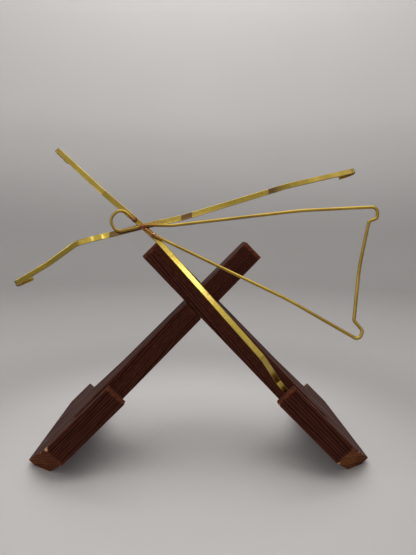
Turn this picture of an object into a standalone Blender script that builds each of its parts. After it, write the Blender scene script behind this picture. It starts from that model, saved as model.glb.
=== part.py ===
"""Plate display stand: two crossed hardwood boards with slotted toes, and a brass wire-and-strip plate cradle.

Metres, +Z up. The front of the stand, where the plate's slots are, faces -Y, and the floor is z = 0.
The boards lie in planes that contain the Y direction and lean 45 degrees to either side, so they cross
at a right angle. Each board is drawn as an outline of (depth along Y, height up the board).
The cradle is drawn on the plate's own axes: X to the right, Y up the leaning plate, Z out of its back.
"""

import math

import bmesh
import bpy
from mathutils import Quaternion, Vector

# The whole stand
ORIGIN_SHIFT = Vector((0.0057, -0.0060, 0.0))  # puts the frame's origin under the middle of the outline
GAP = 0.0003  # clearance between pieces that touch

# The plate that the stand is made for, which isn't part of it
PLATE_LEAN = math.radians(13.6)
PLATE_HEIGHT = 0.1384  # floor to the middle of the plate

# The boards
BOARD_THICKNESS = 0.015
HALVING_HEIGHT = 0.1573  # up the boards, from the tip of the toe to the middle of the halving joint
STANDING_CUT = 0.0091  # sawn off the lower corner at 45 degrees, to stand flat on the floor
EDGE_ROUNDING = 0.0006
TOE_FRONT = -0.0368
TOE_HEIGHT = 0.0268
TOE_SETBACK = 0.021
LIP_TOP = 0.0816
LIP_TOP_FRONT = -0.0350
SLOT_FRONT = -0.0292
SLOT_FLOOR = 0.0465
SLOT_BACK = -0.0214
ARM_TOP = 0.209
ARM_TOP_DEPTH = 0.023
ARM_FOOT_BACK = 0.018
ARM_FOOT_HEIGHT = 0.084
RUNNER_BACK = 0.074
RUNNER_BACK_HEIGHT = 0.028
HEEL_RISE = 0.004  # how far the bottom edge climbs from toe to heel
RUNNER_BEND = Vector((0.026, 0.048))  # (depth, height) of the corner between arm and runner
RUNNER_BEND_RADIUS = 0.016
CORNER_RADIUS = 0.003

# The brass cradle
STRIP_WIDTH = 0.0036
STRIP_THICKNESS = 0.0009
WIRE_RADIUS = 0.00095
RING_HEIGHT = 0.0220  # mid-line of a strip that lies over the plate's foot ring
UPPER_STRIP_HEIGHT = RING_HEIGHT + STRIP_THICKNESS + GAP
WIRE_HEIGHT = UPPER_STRIP_HEIGHT + STRIP_THICKNESS / 2 + GAP + WIRE_RADIUS
HOOK_RADIUS = 0.00275  # mid-line radius of the bend round the plate's rim
HOOK_RETURN = 0.008
STRIP_BEND_RADIUS = 0.004
LEG_ROOT = Vector((-0.0333, 0.0157))
LEG_HEADING = math.radians(-12.8)
LEG_RISE = 0.193  # height gained off the plate for each metre along the leg

# Strip routes on the plate's axes, from rim to rim: (right, up, height off the plate's rim plane)
LONG_STRIP = [
    (-0.0997, 0.0763, HOOK_RADIUS),
    (-0.0637, 0.0408, RING_HEIGHT),
    (-0.0384, 0.0191, UPPER_STRIP_HEIGHT),
    (-0.0283, 0.0099, UPPER_STRIP_HEIGHT),
    (0.0378, -0.0637, RING_HEIGHT),
    (0.0496, -0.0793, 0.0075),
    (0.0700, -0.1036, HOOK_RADIUS),
]
CROSS_STRIP = [
    (-0.1223, -0.0149, HOOK_RADIUS),
    (-0.0999, -0.0042, 0.0124),
    (-0.0795, 0.0077, RING_HEIGHT),
    (-0.0377, 0.0190, RING_HEIGHT),
    (-0.0121, 0.0252, RING_HEIGHT),
    (0.0560, 0.0472, RING_HEIGHT),
    (0.1053, 0.0652, HOOK_RADIUS),
]
LONG_BEND_RADII = [STRIP_BEND_RADIUS] * 5
CROSS_BEND_RADII = [0.060, 0.016, 0.016, STRIP_BEND_RADIUS, STRIP_BEND_RADIUS]
# Loop wire, from its cut end round to the crossing of the strips: (right, up)
LOOP = [
    (-0.0438, 0.0229),
    (-0.0519, 0.0303),
    (-0.0588, 0.0230),
    (-0.0548, 0.0142),
    (-0.0402, 0.0178),
]
LOOP_BEND_RADIUS = 0.0055
# Leg wire, from its upper end round the bar to its tail: (along the leg, across it)
LEG = [
    (-0.0044, 0.0024),
    (0.0130, 0.0057),
    (0.0873, 0.0292),
    (0.1292, 0.0392),
    (0.1300, 0.0323),
    (0.1259, 0.0297),
    (0.1253, 0.0020),
    (0.1277, -0.0288),
    (0.1332, -0.0333),
    (0.1324, -0.0391),
    (0.0906, -0.0249),
    (0.0030, -0.0024),
    (-0.0029, 0.0003),
]
LEG_BEND_RADII = [0.040, 0.150, 0.0032, 0.0025, 0.0020, 0.0300, 0.0025, 0.0026, 0.0026, 0.150, 0.0050]
BEAD_RADIUS = 0.0021
BEAD_HEIGHT = 0.0019

# Colours as (red, green, blue), with roughness and metallic
WOOD = ((0.085, 0.032, 0.022), 0.42, 0.0)
BRASS = ((0.72, 0.55, 0.16), 0.24, 1.0)
BURNT_BRASS = ((0.30, 0.09, 0.05), 0.45, 1.0)


def clear_scene():
    for item in list(bpy.data.objects):
        bpy.data.objects.remove(item)


def material(name, colour, roughness, metallic):
    made = bpy.data.materials.new(name)
    made.use_nodes = True
    shader = made.node_tree.nodes["Principled BSDF"]
    shader.inputs["Base Color"].default_value = (*colour, 1.0)
    shader.inputs["Roughness"].default_value = roughness
    shader.inputs["Metallic"].default_value = metallic
    made.diffuse_color = (*colour, 1.0)
    return made


def add_object(name, bm, surface, parent=None):
    """A new mesh object from bm, facing out, with its material."""
    bmesh.ops.recalc_face_normals(bm, faces=bm.faces)
    mesh = bpy.data.meshes.new(name)
    bm.to_mesh(mesh)
    bm.free()
    mesh.materials.append(surface)
    made = bpy.data.objects.new(name, mesh)
    bpy.context.scene.collection.objects.link(made)
    made.parent = parent
    return made


def arc_corner(before, corner, after, radius, steps):
    """Points of an arc of this radius that rounds the corner."""
    back = (before - corner).normalized()
    ahead = (after - corner).normalized()
    half = back.angle(ahead) / 2
    reach = radius / math.tan(half)
    centre = corner + (back + ahead).normalized() * radius / math.sin(half)
    first = corner + back * reach - centre
    turn = first.rotation_difference(corner + ahead * reach - centre)
    return [centre + Quaternion().slerp(turn, i / steps) @ first for i in range(steps + 1)]


def rounded_route(points, radii, steps=6):
    """An open route through 3-D points, with an arc at each inner one."""
    route = [points[0]]
    for i, radius in enumerate(radii, start=1):
        route += arc_corner(points[i - 1], points[i], points[i + 1], radius, steps)
    return route + [points[-1]]


def rounded_outline(corners, steps=6):
    """A closed outline in the YZ plane from (depth, height, radius) corners."""
    points = [Vector((0, depth, height)) for depth, height, _ in corners]
    outline = []
    for i, (_, _, radius) in enumerate(corners):
        before = points[i - 1]
        after = points[(i + 1) % len(points)]
        if radius:
            outline += arc_corner(before, points[i], after, radius, steps)
        else:
            outline.append(points[i])
    return outline


def sweep(frames, section):
    """A closed solid that carries the section, as (side, out) offsets, along frames of (point, side, out)."""
    bm = bmesh.new()
    rings = [
        [bm.verts.new(point + side * s + out * o) for s, o in section] for point, side, out in frames
    ]
    count = len(section)
    for ring, following in zip(rings, rings[1:]):
        for i in range(count):
            j = (i + 1) % count
            bm.faces.new((ring[i], ring[j], following[j], following[i]))
    bm.faces.new(rings[0])
    bm.faces.new(rings[-1])
    return bm


def tangents(route):
    """The direction of travel at each point of the route."""
    last = len(route) - 1
    return [(route[min(i + 1, last)] - route[max(i - 1, 0)]).normalized() for i in range(last + 1)]


def wire(route, radius, sides=12):
    """A round wire along the route, its section turned as little as possible on the way."""
    section = [
        (radius * math.cos(math.tau * i / sides), radius * math.sin(math.tau * i / sides))
        for i in range(sides)
    ]
    frames = []
    side = Vector((0, 0, 1)).cross(route[1] - route[0]).normalized()
    for point, along in zip(route, tangents(route)):
        side = (side - along * side.dot(along)).normalized()
        frames.append((point, side, along.cross(side)))
    return sweep(frames, section)


def hook(rim_point, heading):
    """The mid-line of a strip's hook, from the back of the rim round to its face."""
    top = Vector((0, 0, 1))
    centre = rim_point - top * HOOK_RADIUS
    bend = [
        centre + HOOK_RADIUS * (heading * math.sin(angle) + top * math.cos(angle))
        for angle in (math.pi * i / 8 for i in range(9))
    ]
    return bend + [bend[-1] - heading * HOOK_RETURN]


def strip(points, bend_radii, extra=0.0):
    """A flat strip with a hook at each end, lying across the plate's back; extra makes it larger all round."""
    corners = [Vector(point) for point in points]
    body = rounded_route(corners, bend_radii, steps=4)
    headings = [Vector((along.x, along.y, 0)).normalized() for along in tangents(body)]
    start = hook(corners[0], -headings[0])
    end = hook(corners[-1], headings[-1])
    route = start[::-1] + body[1:-1] + end
    headings = [headings[0]] * len(start) + headings[1:-1] + [headings[-1]] * len(end)
    frames = []
    for point, along, heading in zip(route, tangents(route), headings):
        side = Vector((-heading.y, heading.x, 0))
        frames.append((point, side, along.cross(side)))
    half_width = STRIP_WIDTH / 2 + extra
    half_thickness = STRIP_THICKNESS / 2 + extra
    section = [
        (-half_width, -half_thickness),
        (half_width, -half_thickness),
        (half_width, half_thickness),
        (-half_width, half_thickness),
    ]
    return sweep(frames, section)


def loop_route():
    points = [Vector((right, up, WIRE_HEIGHT)) for right, up in LOOP]
    return rounded_route(points, [LOOP_BEND_RADIUS] * (len(points) - 2), steps=8)


def leg_route():
    ahead = Vector((math.cos(LEG_HEADING), math.sin(LEG_HEADING), 0))
    across = Vector((-math.sin(LEG_HEADING), math.cos(LEG_HEADING), 0))
    root = Vector((*LEG_ROOT, WIRE_HEIGHT + GAP))
    rise = Vector((0, 0, LEG_RISE))
    points = [root + ahead * along + across * aside + rise * max(along, 0) for along, aside in LEG]
    return rounded_route(points, LEG_BEND_RADII)


def board_outline(front_notch, back_notch):
    """The board's corners as (depth, height, radius), clockwise from the toe, with its halving notch."""
    lean = math.tan(PLATE_LEAN) / math.sqrt(2)

    def front_at(height):
        return SLOT_BACK + lean * (height - SLOT_FLOOR)

    arm_top_front = front_at(ARM_TOP)
    arm_top_back = arm_top_front + ARM_TOP_DEPTH

    def back_at(height):
        share = (height - ARM_FOOT_HEIGHT) / (ARM_TOP - ARM_FOOT_HEIGHT)
        return ARM_FOOT_BACK + share * (arm_top_back - ARM_FOOT_BACK)

    low = HALVING_HEIGHT - BOARD_THICKNESS / 2 - GAP
    high = HALVING_HEIGHT + BOARD_THICKNESS / 2 + GAP
    middle = (front_at(HALVING_HEIGHT) + back_at(HALVING_HEIGHT)) / 2
    corners = [
        (TOE_FRONT + TOE_SETBACK, 0.0, 0.0),
        (TOE_FRONT, TOE_HEIGHT, 0.0),
        (LIP_TOP_FRONT, LIP_TOP, 0.0),
        (SLOT_FRONT, LIP_TOP, 0.0),
        (SLOT_FRONT, SLOT_FLOOR, 0.0),
        (SLOT_BACK, SLOT_FLOOR, 0.0),
    ]
    if front_notch:
        corners += [
            (front_at(low), low, 0.0),
            (middle + GAP / 2, low, 0.0),
            (middle + GAP / 2, high, 0.0),
            (front_at(high), high, 0.0),
        ]
    corners += [(arm_top_front, ARM_TOP, CORNER_RADIUS), (arm_top_back, ARM_TOP, CORNER_RADIUS)]
    if back_notch:
        corners += [
            (back_at(high), high, 0.0),
            (middle - GAP / 2, high, 0.0),
            (middle - GAP / 2, low, 0.0),
            (back_at(low), low, 0.0),
        ]
    corners += [
        (ARM_FOOT_BACK, ARM_FOOT_HEIGHT, 0.020),
        (*RUNNER_BEND, RUNNER_BEND_RADIUS),
        (RUNNER_BACK, RUNNER_BACK_HEIGHT, CORNER_RADIUS),
        (RUNNER_BACK, HEEL_RISE, 0.0),
    ]
    return corners


def add_board(name, side, surface, front_notch=False, back_notch=False):
    """One board, on the left (side -1) or the right (side 1) of the stand."""
    bm = bmesh.new()
    outline = rounded_outline(board_outline(front_notch, back_notch))
    half = Vector((BOARD_THICKNESS / 2, 0, 0))
    face = bm.faces.new([bm.verts.new(point - half) for point in outline])
    grown = bmesh.ops.extrude_face_region(bm, geom=[face])
    moved = [item for item in grown["geom"] if isinstance(item, bmesh.types.BMVert)]
    bmesh.ops.translate(bm, verts=moved, vec=2 * half)
    lower_corner = Vector((-side * BOARD_THICKNESS / 2, 0, STANDING_CUT))
    cut = bmesh.ops.bisect_plane(
        bm,
        geom=[*bm.verts, *bm.edges, *bm.faces],
        plane_co=lower_corner,
        plane_no=(-side, 0, -1),
        clear_outer=True,
    )
    rim = [item for item in cut["geom_cut"] if isinstance(item, bmesh.types.BMEdge)]
    bmesh.ops.contextual_create(bm, geom=rim)
    board = add_object(name, bm, surface)
    board.rotation_euler = (0, math.radians(-45 * side), 0)
    slope = math.sqrt(0.5)
    tip_height = (BOARD_THICKNESS / 2 - STANDING_CUT) * slope
    tip_spread = HALVING_HEIGHT * slope
    board.location = Vector((side * tip_spread, 0, tip_height)) + ORIGIN_SHIFT
    bevel = board.modifiers.new("edge_rounding", "BEVEL")
    bevel.width = EDGE_ROUNDING
    bevel.segments = 2
    bevel.limit_method = "ANGLE"
    bevel.angle_limit = math.radians(30)
    return board


def add_cutter(name, bm, surface, parent):
    cutter = add_object(name, bm, surface, parent)
    cutter.hide_render = True
    cutter.display_type = "WIRE"
    return cutter


def add_bead(name, centre, surface, parent, cutters):
    """A bead of braze that caps the wires and strips at this point, and clears each by the gap."""
    bm = bmesh.new()
    bmesh.ops.create_uvsphere(bm, u_segments=16, v_segments=10, radius=1.0)
    bmesh.ops.scale(bm, verts=bm.verts, vec=(BEAD_RADIUS, BEAD_RADIUS, BEAD_HEIGHT))
    bead = add_object(name, bm, surface, parent)
    bead.location = centre
    for cutter in cutters:
        cut = bead.modifiers.new("clear_of_" + cutter.name, "BOOLEAN")
        cut.operation = "DIFFERENCE"
        cut.object = cutter
        cut.solver = "EXACT"
    return bead


def add_cradle():
    brass = material("brass", *BRASS)
    burnt = material("burnt_brass", *BURNT_BRASS)
    frame = bpy.data.objects.new("cradle_frame", None)
    bpy.context.scene.collection.objects.link(frame)
    frame.location = Vector((0, 0, PLATE_HEIGHT)) + ORIGIN_SHIFT
    frame.rotation_euler = (math.pi / 2 - PLATE_LEAN, 0, 0)
    add_object("long_strip", strip(LONG_STRIP, LONG_BEND_RADII), brass, frame)
    add_object("cross_strip", strip(CROSS_STRIP, CROSS_BEND_RADII), brass, frame)
    add_object("loop_wire", wire(loop_route(), WIRE_RADIUS), brass, frame)
    add_object("leg_wire", wire(leg_route(), WIRE_RADIUS), brass, frame)
    cutters = [
        add_cutter("long_strip_room", strip(LONG_STRIP, LONG_BEND_RADII, GAP), brass, frame),
        add_cutter("cross_strip_room", strip(CROSS_STRIP, CROSS_BEND_RADII, GAP), brass, frame),
        add_cutter("loop_wire_room", wire(loop_route(), WIRE_RADIUS + GAP), brass, frame),
        add_cutter("leg_wire_room", wire(leg_route(), WIRE_RADIUS + GAP), brass, frame),
    ]
    leg = leg_route()
    add_bead("loop_end_braze", loop_route()[0], burnt, frame, cutters)
    add_bead("crossing_braze", leg[0], burnt, frame, cutters)
    add_bead("leg_end_braze", leg[-3], burnt, frame, cutters)


def main():
    clear_scene()
    wood = material("varnished_hardwood", *WOOD)
    add_board("left_board", -1, wood, front_notch=True)
    add_board("right_board", 1, wood, back_notch=True)
    add_cradle()


main()
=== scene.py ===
"""Looks of the plate display stand: varnished hardwood boards and a brazed brass plate cradle.

Metres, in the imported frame: +Z up, and the front faces -Y. Each board is drawn on its own axes, with X
through the thickness, Y for depth and Z up the board. The cradle is drawn on the axes of the plate that it
holds, with X to the right, Y up the plate and Z out of its back.
"""

import math

import bmesh
import bpy
from mathutils import Matrix, Quaternion, Vector, noise


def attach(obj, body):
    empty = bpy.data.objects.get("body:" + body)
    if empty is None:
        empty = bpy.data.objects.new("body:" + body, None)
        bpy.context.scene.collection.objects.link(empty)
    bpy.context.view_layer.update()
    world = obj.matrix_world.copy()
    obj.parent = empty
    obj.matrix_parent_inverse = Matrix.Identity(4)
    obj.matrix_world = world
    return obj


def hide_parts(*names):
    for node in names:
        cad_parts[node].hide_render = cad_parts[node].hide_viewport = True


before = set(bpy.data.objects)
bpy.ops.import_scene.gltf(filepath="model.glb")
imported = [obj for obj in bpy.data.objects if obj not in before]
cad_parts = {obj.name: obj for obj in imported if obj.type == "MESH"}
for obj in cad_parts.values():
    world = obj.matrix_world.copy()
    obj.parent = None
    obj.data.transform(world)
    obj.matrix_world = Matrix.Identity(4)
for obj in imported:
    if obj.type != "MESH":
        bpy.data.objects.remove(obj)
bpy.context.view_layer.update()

# The whole stand
ORIGIN_SHIFT = Vector((0.0057, -0.0060, 0.0))  # from the frame's origin to that of the boards and the plate
GAP = 0.0003  # clearance between pieces that lie against each other
PLATE_LEAN = math.radians(13.6)
PLATE_HEIGHT = 0.1384  # of the plate's middle above the floor

# The boards
BOARD_THICKNESS = 0.015
HALVING_HEIGHT = 0.1573  # up the board to where the two cross
STANDING_CUT = 0.0091  # how far up its underside a board is cut flat to stand
TOE_FRONT = -0.0368
TOE_HEIGHT = 0.0268
TOE_SETBACK = 0.021
LIP_TOP = 0.0816
LIP_TOP_FRONT = -0.0350
SLOT_FRONT = -0.0292
SLOT_FLOOR = 0.0465
SLOT_BACK = -0.0214
ARM_TOP = 0.209
ARM_TOP_DEPTH = 0.023
ARM_FOOT_BACK = 0.018
ARM_FOOT_HEIGHT = 0.084
RUNNER_BACK = 0.074
RUNNER_BACK_HEIGHT = 0.028
HEEL_RISE = 0.004
RUNNER_BEND = (0.026, 0.048)
RUNNER_BEND_RADIUS = 0.016
CORNER_RADIUS = 0.003
ARRIS = 0.0006  # rounding of the long edges
WORN_CORNER = 0.0009  # rounding of the outline's corners
INNER_CORNER = 0.0002  # rounding inside the slot and the halving notch
NOTCH_MOUTH = 0.0008  # easing at the mouth of the halving notch
ARM_FOOT_RADIUS = 0.020
WEAR_REACH = 0.0006  # how far the wear runs on from a worn corner
EDGE_WEAR = (0.0, 0.45, 1.0, 0.60, 0.15)  # from the side face over the long edge to the outline
SUPPORTS = (0.0004, 0.0010, 0.0022)  # distances from a rounding at which the outline has a point
OUTLINE_SPACING = 0.004
FLAT_FACE_AREA = 0.0005  # faces larger than this are shaded flat

# The brass cradle
STRIP_WIDTH = 0.0036
STRIP_THICKNESS = 0.0009
STRIP_EDGE = 0.00026  # rounding of a strip's long edges
WIRE_RADIUS = 0.00095
RING_HEIGHT = 0.0220  # of a strip's middle where it passes over the plate's foot ring
UPPER_STRIP_HEIGHT = RING_HEIGHT + STRIP_THICKNESS + GAP
WIRE_HEIGHT = UPPER_STRIP_HEIGHT + STRIP_THICKNESS / 2 + GAP + WIRE_RADIUS
HOOK_RADIUS = 0.00275
HOOK_RETURN = 0.008
STRIP_BEND_RADIUS = 0.004
STRIP_SPACING = 0.0012
STRIP_TIP = 0.0006  # reach of the easing at a strip's cut ends
TIP_EASING = ((0.72, 0.0), (0.90, 0.10), (1.0, 0.32))  # section's scale, and depth as a part of the reach
STRIPS_CROSS = Vector((-0.0340, 0.0170, UPPER_STRIP_HEIGHT))
BRAZE_SWELL = 0.16  # how far a bead's lumps are roughened, as a part of their radii
BRAZE_VOXEL = 0.00016
LEG_ROOT = (-0.0333, 0.0157)
LEG_HEADING = math.radians(-12.8)
LEG_RISE = 0.193  # the leg rises away from the plate by this much of its length

# Each strip's corners: to the right of the plate's middle, up from it, and out from the plane of its rim
LONG_STRIP = [
    (-0.0997, 0.0763, HOOK_RADIUS),
    (-0.0637, 0.0408, RING_HEIGHT),
    (-0.0384, 0.0191, UPPER_STRIP_HEIGHT),
    (-0.0283, 0.0099, UPPER_STRIP_HEIGHT),
    (0.0378, -0.0637, RING_HEIGHT),
    (0.0496, -0.0793, 0.0075),
    (0.0700, -0.1036, HOOK_RADIUS),
]
CROSS_STRIP = [
    (-0.1223, -0.0149, HOOK_RADIUS),
    (-0.0999, -0.0042, 0.0124),
    (-0.0795, 0.0077, RING_HEIGHT),
    (-0.0377, 0.0190, RING_HEIGHT),
    (-0.0121, 0.0252, RING_HEIGHT),
    (0.0560, 0.0472, RING_HEIGHT),
    (0.1053, 0.0652, HOOK_RADIUS),
]
LONG_BEND_RADII = [STRIP_BEND_RADIUS] * 5
CROSS_BEND_RADII = [0.060, 0.016, 0.016, STRIP_BEND_RADIUS, STRIP_BEND_RADIUS]

# Shallow humps where a strip was pressed over a plate: place to the right, height, reach and roll in degrees
LONG_WAVES = [(-0.0600, 0.00018, 0.0040, 0.0), (0.0300, -0.00015, 0.0100, 0.0)]
CROSS_WAVES = [
    (-0.0712, 0.00056, 0.0030, 6.0),
    (-0.0646, 0.00046, 0.0026, 6.0),
    (0.0500, 0.00016, 0.0050, 0.0),
]

# Stretches of the cross strip painted dark as painted reflections of dark surroundings: from, to, start fade
# and end fade
CROSS_PAINTED_REFLECTIONS = [
    (-0.0590, -0.0395, 0.0004, 0.0030),
    (-0.0137, -0.0068, 0.0003, 0.0003),
    (0.0426, 0.0450, 0.0003, 0.0110),
]

# The hanging loop's corners: to the right, and up
LOOP = [
    (-0.0438, 0.0229),
    (-0.0519, 0.0303),
    (-0.0588, 0.0230),
    (-0.0548, 0.0142),
    (-0.0402, 0.0178),
]
LOOP_BEND_RADIUS = 0.0055

# The leg's corners: along its heading from the root, and aside from it
LEG = [
    (-0.0044, 0.0024),
    (0.0130, 0.0057),
    (0.0873, 0.0292),
    (0.1292, 0.0392),
    (0.1300, 0.0323),
    (0.1259, 0.0297),
    (0.1253, 0.0020),
    (0.1277, -0.0288),
    (0.1332, -0.0333),
    (0.1324, -0.0391),
    (0.0906, -0.0249),
    (0.0030, -0.0024),
    (-0.0029, 0.0003),
]
LEG_BEND_RADII = [0.040, 0.150, 0.0032, 0.0025, 0.0020, 0.150, 0.0025, 0.0026, 0.0026, 0.150, 0.0050]

# Chips of bare wood on the boards, as (place, size)
LEFT_CHIPS = [
    ((-BOARD_THICKNESS / 2, TOE_FRONT + 0.0004, TOE_HEIGHT), 0.0017),
    ((-BOARD_THICKNESS / 2, TOE_FRONT + 0.0060, 0.0190), 0.0008),
    ((-BOARD_THICKNESS / 2, TOE_FRONT + 0.0100, 0.0150), 0.0006),
    ((BOARD_THICKNESS / 2, TOE_FRONT + 0.0030, 0.0230), 0.0006),
]
RIGHT_CHIPS = [
    ((-BOARD_THICKNESS / 2, TOE_FRONT + 0.0014, 0.0250), 0.0018),
    ((BOARD_THICKNESS / 2, TOE_FRONT + 0.0080, 0.0165), 0.0009),
    ((BOARD_THICKNESS / 2, TOE_FRONT + 0.0120, 0.0115), 0.0007),
    ((-BOARD_THICKNESS / 2, LIP_TOP_FRONT + 0.0003, LIP_TOP - 0.0010), 0.0007),
]


# ---------------------------------------------------------------- routes and outlines


def arc_corner(before, corner, after, radius, steps):
    """Points of an arc of this radius that rounds the corner."""
    back = (before - corner).normalized()
    ahead = (after - corner).normalized()
    half = back.angle(ahead) / 2
    reach = radius / math.tan(half)
    centre = corner + (back + ahead).normalized() * radius / math.sin(half)
    first = corner + back * reach - centre
    turn = first.rotation_difference(corner + ahead * reach - centre)
    return [centre + Quaternion().slerp(turn, i / steps) @ first for i in range(steps + 1)]


def rounded_route(points, radii, steps):
    """An open route through 3-D points, with an arc at each inner one."""
    route = [points[0]]
    for i, radius in enumerate(radii, start=1):
        route += arc_corner(points[i - 1], points[i], points[i + 1], radius, steps)
    return route + [points[-1]]


def refined(route, spacing):
    """The route with its long stretches divided."""
    fine = [route[0]]
    for a, b in zip(route, route[1:]):
        pieces = max(1, round((b - a).length / spacing))
        fine += [a.lerp(b, i / pieces) for i in range(1, pieces + 1)]
    return fine


def tangents(route):
    """The unit direction of the route at each of its points."""
    last = len(route) - 1
    return [(route[min(i + 1, last)] - route[max(i - 1, 0)]).normalized() for i in range(last + 1)]


# ---------------------------------------------------------------- mesh building


def new_object(name, bm, surface, sharp=35.0):
    """A smooth-shaded mesh object from bm, its edges over this angle kept sharp."""
    bmesh.ops.recalc_face_normals(bm, faces=bm.faces)
    mesh = bpy.data.meshes.new(name)
    bm.to_mesh(mesh)
    bm.free()
    mesh.materials.append(surface)
    mesh.shade_smooth()
    mesh.set_sharp_from_angle(angle=math.radians(sharp))
    made = bpy.data.objects.new(name, mesh)
    bpy.context.scene.collection.objects.link(made)
    return made


def settle(piece, matrix):
    """Puts the piece in the frame, and keeps the axes that it was drawn on for its material."""
    mesh = piece.data
    drawn = mesh.attributes.new("drawn", "FLOAT_VECTOR", "POINT")
    drawn.data.foreach_set("vector", [c for vert in mesh.vertices for c in vert.co])
    mesh.transform(matrix)
    return piece


def sweep(frames, section):
    """A closed solid that carries the section along frames of (point, side, out, scale).

    Its UV map runs in metres, U along the route and V round the section."""
    bm = bmesh.new()
    uv = bm.loops.layers.uv.new("UVMap")
    rings = [
        [bm.verts.new(point + (side * s + out * o) * scale) for s, o in section]
        for point, side, out, scale in frames
    ]
    along = [0.0]
    for a, b in zip(frames, frames[1:]):
        along.append(along[-1] + (b[0] - a[0]).length)
    around = [0.0]
    count = len(section)
    for i in range(count):
        a, b = section[i], section[(i + 1) % count]
        around.append(around[-1] + math.hypot(b[0] - a[0], b[1] - a[1]))
    for k, (ring, following) in enumerate(zip(rings, rings[1:])):
        for i in range(count):
            j = (i + 1) % count
            face = bm.faces.new((ring[i], ring[j], following[j], following[i]))
            corners = [(k, i), (k, i + 1), (k + 1, i + 1), (k + 1, i)]
            for loop, (u, v) in zip(face.loops, corners):
                loop[uv].uv = (along[u], around[v])
    bm.faces.new(rings[0])
    bm.faces.new(rings[-1])
    return bm


def round_section(radius, sides):
    """The points of a circle."""
    return [
        (radius * math.cos(math.tau * i / sides), radius * math.sin(math.tau * i / sides))
        for i in range(sides)
    ]


def flat_section(width, thickness, edge, steps=3):
    """A rectangle with rounded corners, and a support point beside each rounding."""
    points = []
    for quarter, (sx, sy) in enumerate([(1, 1), (-1, 1), (-1, -1), (1, -1)]):
        cx, cy = sx * (width / 2 - edge), sy * (thickness / 2 - edge)
        arc = [
            (
                cx + edge * math.cos(math.pi / 2 * (quarter + i / steps)),
                cy + edge * math.sin(math.pi / 2 * (quarter + i / steps)),
            )
            for i in range(steps + 1)
        ]
        support = (sx * (width / 2 - 2 * edge), sy * thickness / 2)
        points += arc + [support] if quarter in (0, 2) else [support] + arc
    return points


def wire(route, radius, sides=20):
    """A round wire along the route, with softly rounded cut ends."""
    frames = []
    side = Vector((0, 0, 1)).cross(route[1] - route[0]).normalized()
    for point, along in zip(route, tangents(route)):
        side = (side - along * side.dot(along)).normalized()
        frames.append([point, side, along.cross(side), 1.0])
    return sweep(with_tips(frames, radius), round_section(radius, sides))


def with_tips(frames, reach):
    """The frames, with each end drawn in over a short reach so that the cut end is eased."""
    eased = [(shrink, share * reach) for shrink, share in TIP_EASING]
    start, after = frames[0], frames[1]
    end, before = frames[-1], frames[-2]
    inward = (after[0] - start[0]).normalized()
    outward = (before[0] - end[0]).normalized()
    first = [[start[0] + inward * depth, start[1], start[2], shrink] for shrink, depth in eased]
    last = [[end[0] + outward * depth, end[1], end[2], shrink] for shrink, depth in eased]
    return first + frames[1:-1] + last[::-1]


def hook(rim_point, heading):
    """The mid-line of a strip's hook, from the back of the rim round to its face."""
    top = Vector((0, 0, 1))
    centre = rim_point - top * HOOK_RADIUS
    bend = [
        centre + HOOK_RADIUS * (heading * math.sin(angle) + top * math.cos(angle))
        for angle in (math.pi * i / 16 for i in range(17))
    ]
    return bend + [bend[-1] - heading * HOOK_RETURN * share for share in (0.25, 0.5, 0.75, 1.0)]


def strip(points, bend_radii, waves):
    """A flat strip with a hook at each end, lying across the plate's back."""
    corners = [Vector(point) for point in points]
    body = refined(rounded_route(corners, bend_radii, steps=8), STRIP_SPACING)
    for right, height, reach, _ in waves:
        for point in body:
            point.z += height * math.exp(-(((point.x - right) / reach) ** 2))
    headings = [Vector((along.x, along.y, 0)).normalized() for along in tangents(body)]
    start = hook(corners[0], -headings[0])
    end = hook(corners[-1], headings[-1])
    route = start[::-1] + body[1:-1] + end
    headings = [headings[0]] * len(start) + headings[1:-1] + [headings[-1]] * len(end)
    frames = []
    for point, along, heading in zip(route, tangents(route), headings):
        side = Vector((-heading.y, heading.x, 0))
        roll = sum(turn * math.exp(-(((point.x - right) / reach) ** 2)) for right, _, reach, turn in waves)
        side = Quaternion(along, math.radians(roll)) @ side
        frames.append([point, side, along.cross(side), 1.0])
    return sweep(with_tips(frames, STRIP_TIP), flat_section(STRIP_WIDTH, STRIP_THICKNESS, STRIP_EDGE))


def loop_route():
    """The hanging loop's mid-line, on the plate's axes."""
    points = [Vector((right, up, WIRE_HEIGHT)) for right, up in LOOP]
    radii = [LOOP_BEND_RADIUS] * (len(points) - 2)
    return refined(rounded_route(points, radii, steps=14), spacing=0.0015)


def leg_point(along, aside):
    """A point of the leg, on the plate's axes."""
    ahead = Vector((math.cos(LEG_HEADING), math.sin(LEG_HEADING), 0))
    across = Vector((-math.sin(LEG_HEADING), math.cos(LEG_HEADING), 0))
    root = Vector((*LEG_ROOT, WIRE_HEIGHT + GAP))
    return root + ahead * along + across * aside + Vector((0, 0, LEG_RISE * max(along, 0)))


def leg_route():
    """The leg's mid-line, on the plate's axes."""
    points = [leg_point(along, aside) for along, aside in LEG]
    return refined(rounded_route(points, LEG_BEND_RADII, steps=12), spacing=0.003)


def braze(lumps, seed):
    """The overlapping lumps of a bead of braze, each a (centre, radii) with a roughened skin."""
    bm = bmesh.new()
    for centre, radii in lumps:
        grown = bmesh.ops.create_icosphere(bm, subdivisions=4, radius=1.0)
        for vert in grown["verts"]:
            place = vert.co * 1.7 + Vector(centre) * 900 + Vector((seed, 0, 0))
            swell = 1.0 + BRAZE_SWELL * noise.noise(place)
            vert.co = Vector(centre) + Vector([c * r for c, r in zip(vert.co, radii)]) * swell
    return bm


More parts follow.
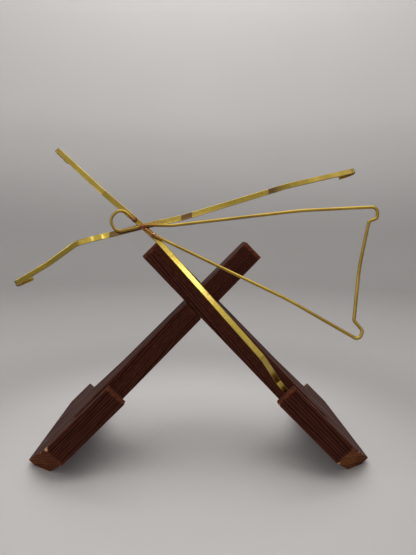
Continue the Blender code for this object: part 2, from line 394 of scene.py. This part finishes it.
def melted(piece, voxel):
    """The piece's overlapping lumps fused into one skin and smoothed."""
    remesh = piece.modifiers.new("fuse", "REMESH")
    remesh.mode = "VOXEL"
    remesh.voxel_size = voxel
    smooth = piece.modifiers.new("settle", "SMOOTH")
    smooth.factor = 0.6
    smooth.iterations = 5
    graph = bpy.context.evaluated_depsgraph_get()
    mesh = bpy.data.meshes.new_from_object(piece.evaluated_get(graph))
    piece.modifiers.clear()
    piece.data = mesh
    mesh.shade_smooth()


# ---------------------------------------------------------------- boards


def board_corners(front_notch, back_notch):
    """The board's corners as (depth, height, radius, worn), clockwise from the toe."""
    lean = math.tan(PLATE_LEAN) / math.sqrt(2)

    def front_at(height):
        return SLOT_BACK + lean * (height - SLOT_FLOOR)

    arm_top_front = front_at(ARM_TOP)
    arm_top_back = arm_top_front + ARM_TOP_DEPTH

    def back_at(height):
        share = (height - ARM_FOOT_HEIGHT) / (ARM_TOP - ARM_FOOT_HEIGHT)
        return ARM_FOOT_BACK + share * (arm_top_back - ARM_FOOT_BACK)

    low = HALVING_HEIGHT - BOARD_THICKNESS / 2 - GAP
    high = HALVING_HEIGHT + BOARD_THICKNESS / 2 + GAP
    middle = (front_at(HALVING_HEIGHT) + back_at(HALVING_HEIGHT)) / 2
    corners = [
        (TOE_FRONT + TOE_SETBACK, 0.0, WORN_CORNER, 1),
        (TOE_FRONT, TOE_HEIGHT, WORN_CORNER * 1.3, 1),
        (LIP_TOP_FRONT, LIP_TOP, WORN_CORNER, 1),
        (SLOT_FRONT, LIP_TOP, WORN_CORNER, 1),
        (SLOT_FRONT, SLOT_FLOOR, INNER_CORNER, 0),
        (SLOT_BACK, SLOT_FLOOR, INNER_CORNER, 0),
    ]
    if front_notch:
        corners += [
            (front_at(low), low, NOTCH_MOUTH, 0),
            (middle + GAP / 2, low, INNER_CORNER, 0),
            (middle + GAP / 2, high, INNER_CORNER, 0),
            (front_at(high), high, NOTCH_MOUTH, 0),
        ]
    corners += [
        (arm_top_front, ARM_TOP, CORNER_RADIUS, 1),
        (arm_top_back, ARM_TOP, CORNER_RADIUS, 1),
    ]
    if back_notch:
        corners += [
            (back_at(high), high, NOTCH_MOUTH, 0),
            (middle - GAP / 2, high, INNER_CORNER, 0),
            (middle - GAP / 2, low, INNER_CORNER, 0),
            (back_at(low), low, NOTCH_MOUTH, 0),
        ]
    corners += [
        (ARM_FOOT_BACK, ARM_FOOT_HEIGHT, ARM_FOOT_RADIUS, 0),
        (*RUNNER_BEND, RUNNER_BEND_RADIUS, 0),
        (RUNNER_BACK, RUNNER_BACK_HEIGHT, CORNER_RADIUS, 1),
        (RUNNER_BACK, HEEL_RISE, WORN_CORNER, 1),
    ]
    return corners


def board_outline(corners):
    """The closed outline as (point, wear): arcs at the corners and support points beside them."""
    points = [Vector((0, depth, height)) for depth, height, _, _ in corners]
    arcs = []
    for i, (_, _, radius, worn) in enumerate(corners):
        after = points[(i + 1) % len(points)]
        steps = 4 if radius < 0.002 else 12
        arc = arc_corner(points[i - 1], points[i], after, radius, steps)
        arcs.append([(point, float(worn)) for point in arc])
    outline = []
    for i, arc in enumerate(arcs):
        outline += arc
        (start, worn_start), (end, worn_end) = arc[-1], arcs[(i + 1) % len(arcs)][0]
        length = (end - start).length
        beside = [distance for distance in SUPPORTS if distance < length / 2]
        reach = beside[-1] if beside else 0
        inner = length - 2 * reach
        pieces = max(1, round(inner / OUTLINE_SPACING))
        marks = beside + [reach + inner * k / pieces for k in range(1, pieces)]
        marks += [length - distance for distance in reversed(beside)]
        for mark in marks:
            from_start = worn_start * (1 - mark / WEAR_REACH)
            from_end = worn_end * (1 - (length - mark) / WEAR_REACH)
            outline.append((start.lerp(end, mark / length), max(from_start, from_end, 0.0)))
    return outline


def inset_outline(points, inset):
    """The outline's points moved this far into the board."""
    moved = []
    for i, point in enumerate(points):
        ahead = (points[(i + 1) % len(points)] - point).normalized()
        back = (point - points[i - 1]).normalized()
        along = (ahead + back).normalized()
        inward = Vector((0, along.z, -along.y))
        moved.append(point + inward * inset / max(0.5, ahead.dot(along)))
    return moved


def board_mesh(side, front_notch, back_notch):
    """One board with eased, worn edges, cut flat where it stands."""
    outline = board_outline(board_corners(front_notch, back_notch))
    points = [point for point, _ in outline]
    corner_wear = [wear for _, wear in outline]
    half = BOARD_THICKNESS / 2
    upper = []
    for i, edge_wear in enumerate(EDGE_WEAR):
        angle = math.pi / 2 * i / (len(EDGE_WEAR) - 1)
        depth = ARRIS * (1 - math.sin(angle))
        upper.append((half - ARRIS * (1 - math.cos(angle)), depth, edge_wear))
    # Two support rings inside the rounding, and one halfway through the board
    upper += [(half - ARRIS - 0.0004, 0.0, 0.0), (half - ARRIS - 0.0014, 0.0, 0.0), (0.0, 0.0, 0.0)]
    profile = upper + [(-x, inset, wear) for x, inset, wear in reversed(upper[:-1])]
    bm = bmesh.new()
    wear_layer = bm.verts.layers.float.new("wear")
    rings = []
    for x, inset, edge_wear in profile:
        ring = []
        for point, wear in zip(inset_outline(points, inset), corner_wear):
            vert = bm.verts.new((x, point.y, point.z))
            vert[wear_layer] = max(edge_wear, wear if inset < ARRIS * 0.99 else 0.0)
            ring.append(vert)
        rings.append(ring)
    for ring, following in zip(rings, rings[1:]):
        for i in range(len(ring)):
            j = (i + 1) % len(ring)
            bm.faces.new((ring[i], ring[j], following[j], following[i]))
    bm.faces.new(rings[0])
    bm.faces.new(rings[-1])
    lower_corner = Vector((-side * half, 0, STANDING_CUT))
    cut = bmesh.ops.bisect_plane(
        bm,
        geom=[*bm.verts, *bm.edges, *bm.faces],
        plane_co=lower_corner,
        plane_no=(-side, 0, -1),
        clear_outer=True,
    )
    rim = [item for item in cut["geom_cut"] if isinstance(item, bmesh.types.BMEdge)]
    bmesh.ops.contextual_create(bm, geom=rim)
    return bm


def add_board(name, node, body, side, surface, front_notch=False, back_notch=False):
    """One board in its place: side is -1 for the left one and 1 for the right one."""
    slope = math.sqrt(0.5)
    tip_height = (BOARD_THICKNESS / 2 - STANDING_CUT) * slope
    place = Vector((side * HALVING_HEIGHT * slope, 0, tip_height)) + ORIGIN_SHIFT
    matrix = Matrix.Translation(place) @ Matrix.Rotation(math.radians(-45 * side), 4, "Y")
    board = new_object(name, board_mesh(side, front_notch, back_notch), surface, sharp=28.0)
    for polygon in board.data.polygons:
        if polygon.area > FLAT_FACE_AREA:
            polygon.use_smooth = False
    settle(board, matrix)
    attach(board, body)
    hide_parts(node)


# ---------------------------------------------------------------- materials


def rgb(red, green, blue, tone=1.0):
    """A linear colour, darkened or lightened by the tone."""
    return (red * tone, green * tone, blue * tone, 1.0)


# Colours of the wood
EARLY_WOOD = ((0.064, 0.0185, 0.0125), (0.107, 0.032, 0.0175))
FIBRE_WOOD = (0.050, 0.0145, 0.0105)
LATE_WOOD = (0.014, 0.0042, 0.0032)
PORE = rgb(0.006, 0.0022, 0.0018)
CUT_WOOD = (rgb(0.265, 0.094, 0.033), rgb(0.140, 0.043, 0.019))
CUT_SPECKLE = rgb(0.050, 0.015, 0.009)
CUT_BAND = rgb(0.024, 0.0070, 0.0050)
RUBBED_VARNISH = rgb(0.175, 0.050, 0.021)
BARE_WOOD = (rgb(0.78, 0.50, 0.29), rgb(0.45, 0.19, 0.070))

# Colours of the brass, clean and dull, and of what has darkened it, some of them painted reflection and
# painted shade, with the finish of strips and wires
STRIP_BRASS = (rgb(0.71, 0.53, 0.084), rgb(0.50, 0.355, 0.050))
WIRE_BRASS = (rgb(0.47, 0.315, 0.050), rgb(0.31, 0.195, 0.032))
DRAW_MARK = rgb(0.40, 0.27, 0.042)
BRASS_SPOT = rgb(0.30, 0.18, 0.045)
HEAT_TINT = rgb(0.34, 0.145, 0.035)
SCORCH = rgb(0.105, 0.026, 0.018)
# Dark stretches of the cross strip: a painted reflection of dark surroundings
PAINTED_REFLECTION_DARK = rgb(0.19, 0.098, 0.038)
# A darker patch on each hook's bend over the rim
HOOK_BEND_DARK = rgb(0.105, 0.042, 0.017)
# Painted shade on the strips' edges and bends
PAINTED_EDGE_SHADE = rgb(0.16, 0.095, 0.028)
# How fully the painted reflections, the painted edge shade and the darker hook bends cover the brass
DARK_PATCH_COVER = 0.92
BEND_PATCH_RADIUS = 0.0031
STRIP_ROUGHNESS = (0.13, 0.20)
WIRE_ROUGHNESS = (0.26, 0.36)

# Colours of the burnt braze
BRAZE_OXIDE = rgb(0.085, 0.018, 0.014)
BRAZE_COPPER = rgb(0.36, 0.115, 0.055)
BRAZE_BRIGHT = rgb(0.66, 0.40, 0.10)
BRAZE_GRIT = rgb(0.035, 0.012, 0.010)

# Growth rings
RING_SPACING = 0.00165
RING_WAVE = 0.0052
RING_FINE_WAVE = 0.0009
RING_LENGTHWISE = 0.035  # how much the rings taper along the board


class Nodes:
    """Short calls for building one material's node tree."""

    def __init__(self, name):
        self.material = bpy.data.materials.new(name)
        self.material.use_nodes = True
        self.tree = self.material.node_tree
        self.shader = self.tree.nodes["Principled BSDF"]

    def add(self, kind, inputs=(), **settings):
        node = self.tree.nodes.new(kind)
        for key, value in settings.items():
            setattr(node, key, value)
        for key, value in dict(inputs).items():
            self.put(node.inputs[key], value)
        return node

    def put(self, socket, value):
        """Links the value to the socket, or sets it there."""
        if isinstance(value, bpy.types.NodeSocket):
            self.tree.links.new(value, socket)
        else:
            socket.default_value = value

    def drawn(self):
        """Where a point is on the axes that its piece was drawn on."""
        return self.add("ShaderNodeAttribute", attribute_name="drawn").outputs["Vector"]

    def math(self, operation, a, b=0.0, clamp=False):
        node = self.add("ShaderNodeMath", operation=operation, use_clamp=clamp)
        self.put(node.inputs[0], a)
        self.put(node.inputs[1], b)
        return node.outputs[0]

    def remap(self, value, low, high, to_low=0.0, to_high=1.0):
        node = self.add("ShaderNodeMapRange", interpolation_type="SMOOTHSTEP")
        for key, item in zip((0, 1, 2, 3, 4), (value, low, high, to_low, to_high)):
            self.put(node.inputs[key], item)
        return node.outputs[0]

    def vector_math(self, operation, a, b=None):
        """The node itself, because its result is a vector for some operations and a value for others."""
        node = self.add("ShaderNodeVectorMath", operation=operation)
        self.put(node.inputs[0], a)
        if b is not None:
            self.put(node.inputs[1], b)
        return node

    def mix(self, factor, a, b, blend="MIX"):
        node = self.add("ShaderNodeMix", data_type="RGBA", blend_type=blend)
        self.put(node.inputs[0], factor)
        self.put(node.inputs[6], a)
        self.put(node.inputs[7], b)
        return node.outputs[2]

    def noise(self, vector, scale, detail=3.0, roughness=0.55):
        inputs = {"Vector": vector, "Scale": scale, "Detail": detail, "Roughness": roughness}
        return self.add("ShaderNodeTexNoise", inputs).outputs["Fac"]

    def stretched(self, vector, scale, location=(0, 0, 0)):
        inputs = {"Vector": vector, "Scale": scale, "Location": location}
        return self.add("ShaderNodeMapping", inputs).outputs[0]

    def bump(self, height, strength, distance, normal=None):
        node = self.add("ShaderNodeBump", {"Height": height, "Strength": strength, "Distance": distance})
        if normal is not None:
            self.put(node.inputs["Normal"], normal)
        return node.outputs[0]

    def spot(self, vector, centre, radius, breakup, softness=0.25):
        """1 inside a ragged patch round this point of the object, 0 outside."""
        distance = self.math("ADD", self.vector_math("DISTANCE", vector, centre).outputs["Value"], breakup)
        return self.remap(distance, radius * (1 + softness), radius * (1 - softness))

    def spots(self, vector, places, breakup, softness=0.25):
        """1 inside a ragged patch round any of these (centre, radius) places, 0 outside."""
        joined = None
        for centre, radius in places:
            patch = self.spot(vector, centre, radius, breakup, softness)
            joined = patch if joined is None else self.math("MAXIMUM", joined, patch)
        return joined

    def turned_to(self, direction):
        """How squarely the surface faces this direction or its opposite, from 0 to 1."""
        normal = self.add("ShaderNodeTexCoord").outputs["Normal"]
        return self.math("ABSOLUTE", self.vector_math("DOT_PRODUCT", normal, direction).outputs["Value"])


def wood(name, side, ring_centre, chips, tone, seed):
    """Dark red-brown varnished hardwood, with growth rings, pores, worn edges and chips.

    The rings are drawn about ring_centre, and side is -1 for the left board and 1 for the right one."""
    n = Nodes(name)
    place = n.drawn()
    shifted = n.stretched(place, (1, 1, 1), (seed, seed, seed))
    grain = (-side * math.sqrt(0.5), 0.0, math.sqrt(0.5))  # along the board, in the frame

    # Growth rings about an axis that runs along the board, waved a little
    wave = n.noise(n.stretched(shifted, (60, 60, 7)), 1.0, 2.0)
    fine_wave = n.noise(n.stretched(shifted, (260, 260, 22)), 1.0, 2.0)
    centred = n.vector_math("SUBTRACT", place, ring_centre).outputs[0]
    flattened = n.vector_math("MULTIPLY", centred, (1, 1, RING_LENGTHWISE)).outputs[0]
    length = n.vector_math("LENGTH", flattened).outputs["Value"]
    radius = n.math("ADD", length, n.math("MULTIPLY", wave, RING_WAVE))
    radius = n.math("ADD", radius, n.math("MULTIPLY", fine_wave, RING_FINE_WAVE))
    turns = n.math("DIVIDE", radius, RING_SPACING)
    phase = n.math("FRACT", turns)
    ring_number = n.math("FLOOR", turns)
    ring_random = n.add("ShaderNodeTexWhiteNoise", {"W": ring_number}, noise_dimensions="1D").outputs["Value"]
    late = n.math("MULTIPLY", n.remap(phase, 0.25, 0.86), n.remap(phase, 1.0, 0.93))
    late = n.math("MULTIPLY", late, n.remap(ring_random, 0.0, 1.0, 0.45, 1.0))

    # Long thin pores and a slow drift of colour
    pores = n.remap(n.noise(n.stretched(shifted, (2600, 2600, 95)), 1.0, 2.0), 0.60, 0.72)
    fibre = n.noise(n.stretched(shifted, (1500, 1500, 45)), 1.0, 3.0)
    drift = n.noise(n.stretched(shifted, (45, 45, 14)), 1.0, 3.0)

    early = n.mix(drift, *(rgb(*colour, tone) for colour in EARLY_WOOD))
    body = n.mix(n.remap(fibre, 0.3, 0.7), early, rgb(*FIBRE_WOOD, tone))
    body = n.mix(late, body, rgb(*LATE_WOOD, tone))
    body = n.mix(n.math("MULTIPLY", pores, 0.75), body, PORE)

    # End grain and steep cuts take the stain less evenly and show the rings as stripes
    cut = n.remap(n.turned_to(grain), 0.42, 0.60)
    height = n.add("ShaderNodeSeparateXYZ", {0: place}).outputs["Z"]
    cut = n.math("MULTIPLY", cut, n.remap(height, TOE_HEIGHT + 0.004, TOE_HEIGHT + 0.016, 1.0, 0.22))
    speckle = n.noise(n.stretched(shifted, (1500, 1500, 700)), 1.0, 2.0)
    pale = n.mix(n.remap(drift, 0.35, 0.65), *CUT_WOOD)
    pale = n.mix(n.remap(speckle, 0.50, 0.80, 0.0, 0.7), pale, CUT_SPECKLE)
    dark_band = n.math("MULTIPLY", n.remap(phase, 0.22, 0.50), n.remap(phase, 0.98, 0.80))
    dark_band = n.math("MULTIPLY", dark_band, n.remap(ring_random, 0.0, 1.0, 0.55, 1.0))
    striped = n.mix(dark_band, pale, CUT_BAND)
    body = n.mix(cut, body, striped)

    # Wear: varnish rubbed thin on the edges, and a few small chips of bare wood
    worn = n.add("ShaderNodeAttribute", attribute_name="wear").outputs["Fac"]
    rub = n.noise(n.stretched(shifted, (420, 420, 120)), 1.0, 4.0, 0.65)
    rubbed = n.math("MULTIPLY", worn, n.remap(rub, 0.36, 0.62))
    body = n.mix(n.math("MULTIPLY", rubbed, 0.55), body, RUBBED_VARNISH)
    ragged = n.math("MULTIPLY", n.math("SUBTRACT", n.noise(shifted, 900.0, 3.0), 0.5), 0.0022)
    chipped = n.spots(place, chips, ragged)
    bare = n.mix(n.remap(speckle, 0.35, 0.65), *BARE_WOOD)
    body = n.mix(chipped, body, bare)
    n.put(n.shader.inputs["Base Color"], body)

    smear = n.noise(n.stretched(shifted, (90, 90, 28)), 1.0, 4.0)
    rough = n.remap(smear, 0.25, 0.75, 0.38, 0.54)
    rough = n.math("ADD", rough, n.math("MULTIPLY", pores, 0.20))
    rough = n.math("ADD", rough, n.math("MULTIPLY", cut, 0.16))
    n.put(n.shader.inputs["Roughness"], n.math("ADD", rough, n.math("MULTIPLY", chipped, 0.25), clamp=True))
    n.shader.inputs["Specular IOR Level"].default_value = 0.015

    relief = n.math("SUBTRACT", n.math("MULTIPLY", fibre, 0.35), n.math("MULTIPLY", pores, 0.8))
    relief = n.math("SUBTRACT", relief, n.math("MULTIPLY", late, 0.35))
    normal = n.bump(relief, 0.55, 0.00016)
    normal = n.bump(smear, 0.35, 0.0006, normal)
    n.put(n.shader.inputs["Normal"], n.bump(chipped, 0.6, -0.0004, normal))
    return n.material


def rim_bends(points):
    """The outermost point of each of a strip's two hooks, where the bend over the rim has darkened."""
    places = []
    for rim, inner in ((points[0], points[1]), (points[-1], points[-2])):
        outward = Vector((rim[0] - inner[0], rim[1] - inner[1], 0)).normalized()
        places.append(tuple(Vector((rim[0], rim[1], 0)) + outward * (HOOK_RADIUS + STRIP_THICKNESS / 2)))
    return places


def brass(name, brushed, seed, heat, painted_reflections=(), bends=()):
    """Yellow brass with lengthwise draw marks, tarnish, heat tint round the brazes, painted reflections and
    painted shade.

    The strips are brushed, and the wires aren't, and the strips' edges and bends get a painted shade. Heat is
    a list of (centre, size), the fourth argument lists stretches painted dark as painted reflections of dark
    surroundings, from, to, start fade and end fade, and each of the bends is the middle of a darkened patch."""
    n = Nodes(name)
    place = n.drawn()
    lengthwise = n.add("ShaderNodeUVMap", uv_map="UVMap").outputs["UV"]
    along = n.stretched(lengthwise, (1, 1, 1), (seed, seed * 0.37, 0))
    marks = n.noise(n.stretched(along, (70, 5200, 1)), 1.0, 4.0, 0.6)
    scratches = n.noise(n.stretched(along, (24, 1700, 1)), 1.0, 3.0, 0.5)
    tarnish = n.noise(n.stretched(place, (55, 55, 55), (seed, 0, 0)), 1.0, 4.0, 0.6)
    spots = n.remap(n.noise(n.stretched(place, (620, 620, 620), (seed, 0, 0)), 1.0, 2.0), 0.66, 0.76)

    colour = n.mix(n.remap(tarnish, 0.30, 0.70), *(STRIP_BRASS if brushed else WIRE_BRASS))
    colour = n.mix(n.math("MULTIPLY", n.remap(marks, 0.35, 0.70), 0.30), colour, DRAW_MARK)
    colour = n.mix(n.math("MULTIPLY", spots, 0.45), colour, BRASS_SPOT)
    ragged = n.math("MULTIPLY", n.math("SUBTRACT", n.noise(place, 330.0, 3.0), 0.5), 0.006)
    tint = n.spots(place, heat, ragged, 1.0)
    colour = n.mix(n.math("MULTIPLY", tint, 0.75), colour, HEAT_TINT)
    scorch = n.math("MULTIPLY", tint, n.remap(n.noise(place, 1000.0, 3.0, 0.6), 0.50, 0.60))
    colour = n.mix(n.math("MULTIPLY", scorch, 0.80), colour, SCORCH)
    # Stretches of the cross strip painted dark as painted reflections of dark surroundings
    if painted_reflections:
        right = n.add("ShaderNodeSeparateXYZ", {0: place}).outputs["X"]
        right = n.math("ADD", right, n.math("MULTIPLY", n.noise(place, 700.0, 2.0), 0.0006))
        for start, end, start_fade, end_fade in painted_reflections:
            inside = n.remap(right, start, start + start_fade)
            inside = n.math("MULTIPLY", inside, n.remap(right, end + end_fade, end))
            colour = n.mix(n.math("MULTIPLY", inside, DARK_PATCH_COVER), colour, PAINTED_REFLECTION_DARK)
    # Each hook's bend over the rim is painted darker
    for bend in bends:
        patch = n.spot(place, bend, BEND_PATCH_RADIUS, n.math("MULTIPLY", ragged, 0.1), 0.2)
        colour = n.mix(n.math("MULTIPLY", patch, DARK_PATCH_COVER), colour, HOOK_BEND_DARK)
    turned = 0.0
    if brushed:
        # The strips' edges and bends, which don't face out of the plate like their flats, are rougher, and
        # are painted darker as painted shade
        turned = n.remap(n.turned_to((0.0, -math.cos(PLATE_LEAN), math.sin(PLATE_LEAN))), 0.92, 0.62)
        colour = n.mix(n.math("MULTIPLY", turned, DARK_PATCH_COVER), colour, PAINTED_EDGE_SHADE)
    n.put(n.shader.inputs["Base Color"], colour)
    n.shader.inputs["Metallic"].default_value = 1.0
    n.shader.inputs["Coat Weight"].default_value = 0.5 if brushed else 0.15
    n.shader.inputs["Coat Roughness"].default_value = 0.12

    rough = n.remap(tarnish, 0.25, 0.75, *(STRIP_ROUGHNESS if brushed else WIRE_ROUGHNESS))
    rough = n.math("ADD", rough, n.math("MULTIPLY", marks, 0.07))
    rough = n.math("ADD", rough, n.math("MULTIPLY", spots, 0.12))
    rough = n.math("ADD", rough, n.math("MULTIPLY", turned, 0.22))
    n.put(n.shader.inputs["Roughness"], n.math("ADD", rough, n.math("MULTIPLY", tint, 0.14), clamp=True))
    strength = 0.13 if brushed else 0.10
    normal = n.bump(marks, strength, 0.00002)
    normal = n.bump(scratches, strength, 0.00006, normal)
    n.put(n.shader.inputs["Normal"], n.bump(tarnish, 0.25, 0.0006, normal))
    return n.material


def burnt(name, seed):
    """Braze burnt to dark copper, with oxide crust and brassy high spots."""
    n = Nodes(name)
    place = n.stretched(n.drawn(), (1, 1, 1), (seed, 0, 0))
    patches = n.noise(place, 700.0, 4.0, 0.6)
    grit = n.noise(place, 2400.0, 3.0, 0.6)
    colour = n.mix(n.remap(patches, 0.38, 0.58), BRAZE_OXIDE, BRAZE_COPPER)
    colour = n.mix(n.remap(patches, 0.58, 0.68), colour, BRAZE_BRIGHT)
    colour = n.mix(n.remap(grit, 0.54, 0.68), colour, BRAZE_GRIT)
    n.put(n.shader.inputs["Base Color"], colour)
    n.put(n.shader.inputs["Metallic"], n.remap(grit, 0.70, 0.50, 0.55, 1.0))
    n.put(n.shader.inputs["Roughness"], n.remap(patches, 0.3, 0.7, 0.44, 0.26))
    normal = n.bump(patches, 0.5, 0.0003)
    n.put(n.shader.inputs["Normal"], n.bump(grit, 0.5, 0.00010, normal))
    return n.material


def backdrop_material():
    """Grey studio paper with painted light and shade: a painted pool of light on the floor under the stand, a
    painted shadow band round it, painted shade farther out, and painted light up the wall.
    """
    n = Nodes("studio_paper")
    place = n.add("ShaderNodeTexCoord").outputs["Object"]
    tooth = n.noise(place, 900.0, 3.0)
    cloud = n.noise(place, 2.2, 2.0)
    paper = n.mix(cloud, rgb(0.512, 0.498, 0.493), rgb(0.542, 0.528, 0.523))
    split = n.add("ShaderNodeSeparateXYZ", {0: place})
    across = n.math("MULTIPLY", split.outputs["X"], split.outputs["X"])
    deep = n.math("MULTIPLY", split.outputs["Y"], split.outputs["Y"])
    reach = n.math("SQRT", n.math("ADD", across, deep))
    # Painted light and shade: bright under the stand, a darker band, darker far out, and lighter up the wall
    tone = n.remap(reach, 0.10, 0.24, 1.0, 0.70)
    changes = [(reach, 0.24, 0.36, 0.06), (reach, 0.40, 1.00, -0.08), (split.outputs["Z"], 0.12, 0.64, 0.78)]
    for measure, low, high, change in changes:
        tone = n.math("ADD", tone, n.remap(measure, low, high, 0.0, change))
    n.put(n.shader.inputs["Base Color"], n.mix(1.0, paper, tone, "MULTIPLY"))
    n.shader.inputs["Roughness"].default_value = 0.62
    n.shader.inputs["Specular IOR Level"].default_value = 0.25
    n.put(n.shader.inputs["Normal"], n.bump(tooth, 0.05, 0.0002))
    return n.material


# ---------------------------------------------------------------- the stand


def near(point, right, up, out):
    """The place this far from the point, on the plate's axes."""
    return (point.x + right, point.y + up, point.z + out)


def add_cradle():
    """The strips, wires and brazes, brought from the plate's axes into the frame."""
    matrix = Matrix.Translation(Vector((0, 0, PLATE_HEIGHT)) + ORIGIN_SHIFT)
    matrix = matrix @ Matrix.Rotation(math.pi / 2 - PLATE_LEAN, 4, "X")
    leg = leg_route()
    loop = loop_route()
    crossing = leg[0]
    leg_end = leg_point(*LEG[-2])
    heat = [(tuple(STRIPS_CROSS), 0.0060), (tuple(leg_end), 0.0042), (tuple(loop[0]), 0.0032)]
    pieces = [
        (
            "long_strip_brass",
            "long_strip",
            strip(LONG_STRIP, LONG_BEND_RADII, LONG_WAVES),
            brass("brass_long_strip", True, 1.3, heat, bends=rim_bends(LONG_STRIP)),
        ),
        (
            "cross_strip_brass",
            "cross_strip",
            strip(CROSS_STRIP, CROSS_BEND_RADII, CROSS_WAVES),
            brass("brass_cross_strip", True, 4.1, heat, CROSS_PAINTED_REFLECTIONS, rim_bends(CROSS_STRIP)),
        ),
        (
            "loop_wire_brass",
            "loop_wire",
            wire(loop, WIRE_RADIUS),
            brass("brass_loop_wire", False, 7.7, heat),
        ),
        (
            "leg_wire_brass",
            "leg_wire",
            wire(leg, WIRE_RADIUS),
            brass("brass_leg_wire", False, 9.2, heat),
        ),
    ]
    for name, node, bm, surface in pieces:
        piece = settle(new_object(name, bm, surface), matrix)
        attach(piece, "cradle")
        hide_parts(node)

    # Each bead is a name, the node it replaces, its lumps as (centre, radii), and a seed
    beads = [
        (
            "crossing_bead",
            "crossing_braze",
            [
                (near(crossing, 0.0002, -0.0006, -0.0006), (0.0021, 0.0018, 0.0015)),
                (near(crossing, 0.0019, -0.0002, -0.0007), (0.0017, 0.0012, 0.0012)),
                (near(crossing, -0.0018, -0.0010, -0.0009), (0.0016, 0.0012, 0.0011)),
                (near(crossing, 0.0008, -0.0022, -0.0013), (0.0014, 0.0013, 0.0010)),
            ],
            2.0,
        ),
        (
            "leg_end_bead",
            "leg_end_braze",
            [
                (near(leg_end, 0.0, 0.0, -0.0003), (0.0018, 0.0015, 0.0014)),
                (near(leg_end, 0.0017, -0.0012, -0.0007), (0.0015, 0.0011, 0.0010)),
                (near(leg_end, -0.0010, 0.0008, -0.0011), (0.0012, 0.0011, 0.0009)),
            ],
            5.0,
        ),
        (
            "loop_end_bead",
            "loop_end_braze",
            [
                (near(loop[0], 0.0004, -0.0002, -0.0004), (0.0015, 0.0014, 0.0013)),
                (near(loop[0], -0.0006, 0.0006, -0.0009), (0.0011, 0.0011, 0.0010)),
            ],
            8.0,
        ),
    ]
    for name, node, lumps, seed in beads:
        piece = new_object(name, braze(lumps, seed), burnt("burnt_" + name, seed))
        melted(piece, BRAZE_VOXEL)
        settle(piece, matrix)
        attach(piece, "cradle")
        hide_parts(node)


def add_boards():
    """The two boards, crossed in their halving joint."""
    # The left board's copy of the wood is toned darker (0.88) than the right one's as painted shade
    left_wood = wood("wood_left", -1, (0.060, 0.012, 0.08), LEFT_CHIPS, tone=0.88, seed=3.0)
    right_wood = wood("wood_right", 1, (-0.070, 0.020, 0.10), RIGHT_CHIPS, tone=1.0, seed=11.0)
    add_board("left_board_wood", "left_board", "left_half", -1, left_wood, front_notch=True)
    add_board("right_board_wood", "right_board", "right_half", 1, right_wood, back_notch=True)


# ---------------------------------------------------------------- studio


def add_stage():
    """A round seamless backdrop: a flat floor that curves up into a wall all the way round."""
    floor_radius, curve, wall, sides = 0.95, 0.50, 1.9, 96
    profile = [(0.0, 0.0), (0.3, 0.0), (0.6, 0.0), (floor_radius, 0.0)]
    profile += [
        (floor_radius + curve * math.sin(a), curve * (1 - math.cos(a)))
        for a in (math.pi / 2 * i / 16 for i in range(1, 17))
    ]
    profile += [(floor_radius + curve, wall)]
    bm = bmesh.new()
    centre = bm.verts.new((0, 0, 0))
    rings = [
        [bm.verts.new((x, y, height)) for x, y in round_section(radius, sides)]
        for radius, height in profile[1:]
    ]
    for i in range(sides):
        bm.faces.new((centre, rings[0][i], rings[0][(i + 1) % sides]))
    for ring, following in zip(rings, rings[1:]):
        for i in range(sides):
            j = (i + 1) % sides
            bm.faces.new((ring[i], following[i], following[j], ring[j]))
    stage = new_object("studio_sweep", bm, backdrop_material(), sharp=60.0)


def area_light(name, place, target, size, power, colour=(1, 1, 1)):
    """A rectangular lamp of this (width, height), aimed at the target."""
    light = bpy.data.lights.new(name, "AREA")
    light.shape = "RECTANGLE"
    light.size, light.size_y = size
    light.energy = power
    light.color = colour
    made = bpy.data.objects.new(name, light)
    bpy.context.scene.collection.objects.link(made)
    made.location = place
    made.rotation_euler = (Vector(target) - Vector(place)).to_track_quat("-Z", "Y").to_euler()


def add_lights():
    """Soft lamps round the stand, and an even world light."""
    area_light("overhead_softbox", (0.0, -0.05, 0.85), (0, 0, 0), (0.8, 0.7), 3.6, (1.0, 0.985, 0.97))
    area_light("wall_wash", (0.0, 0.75, 1.75), (0, 1.5, 1.15), (1.6, 0.3), 8.0)
    area_light("front_softbox", (0.0, -0.84, 0.40), (0, 0, 0.12), (0.12, 0.10), 0.16)
    area_light("front_fill", (0.0, -0.95, 0.42), (0, 0, 0.05), (1.2, 0.45), 0.6)
    area_light("left_fill", (-0.85, -0.35, 0.50), (0, 0, 0.10), (0.30, 0.6), 1.3)
    area_light("right_fill", (0.85, -0.15, 0.60), (0, 0, 0.08), (0.35, 0.7), 0.35)
    world = bpy.data.worlds.new("studio")
    world.use_nodes = True
    background = world.node_tree.nodes["Background"]
    background.inputs["Color"].default_value = rgb(1.0, 0.985, 0.965)
    background.inputs["Strength"].default_value = 0.60
    bpy.context.scene.world = world
    bpy.context.scene.view_settings.view_transform = "Standard"


def add_camera():
    """The camera, close in front of the stand and turned slightly right, down and over."""
    place = Vector((0.0009, -0.2934, 0.16138))
    heading, down_tilt, roll = math.radians(1.8), math.radians(6.7), math.radians(-0.63)
    level = math.cos(down_tilt)
    forward = Vector((math.sin(heading) * level, math.cos(heading) * level, -math.sin(down_tilt)))
    right = forward.cross(Vector((0, 0, 1))).normalized()
    down = forward.cross(right)
    across = right * math.cos(roll) + down * math.sin(roll)
    below = down * math.cos(roll) - right * math.sin(roll)
    camera = bpy.data.objects.new("camera", bpy.data.cameras.new("camera"))
    bpy.context.scene.collection.objects.link(camera)
    camera.data.lens = 27.24
    camera.data.sensor_width = 36.0
    camera.data.clip_start = 0.01
    turned = Matrix((across, -below, -forward)).transposed().to_4x4()
    camera.matrix_world = Matrix.Translation(place) @ turned
    bpy.context.scene.camera = camera


add_boards()
add_cradle()
add_stage()
add_lights()
add_camera()
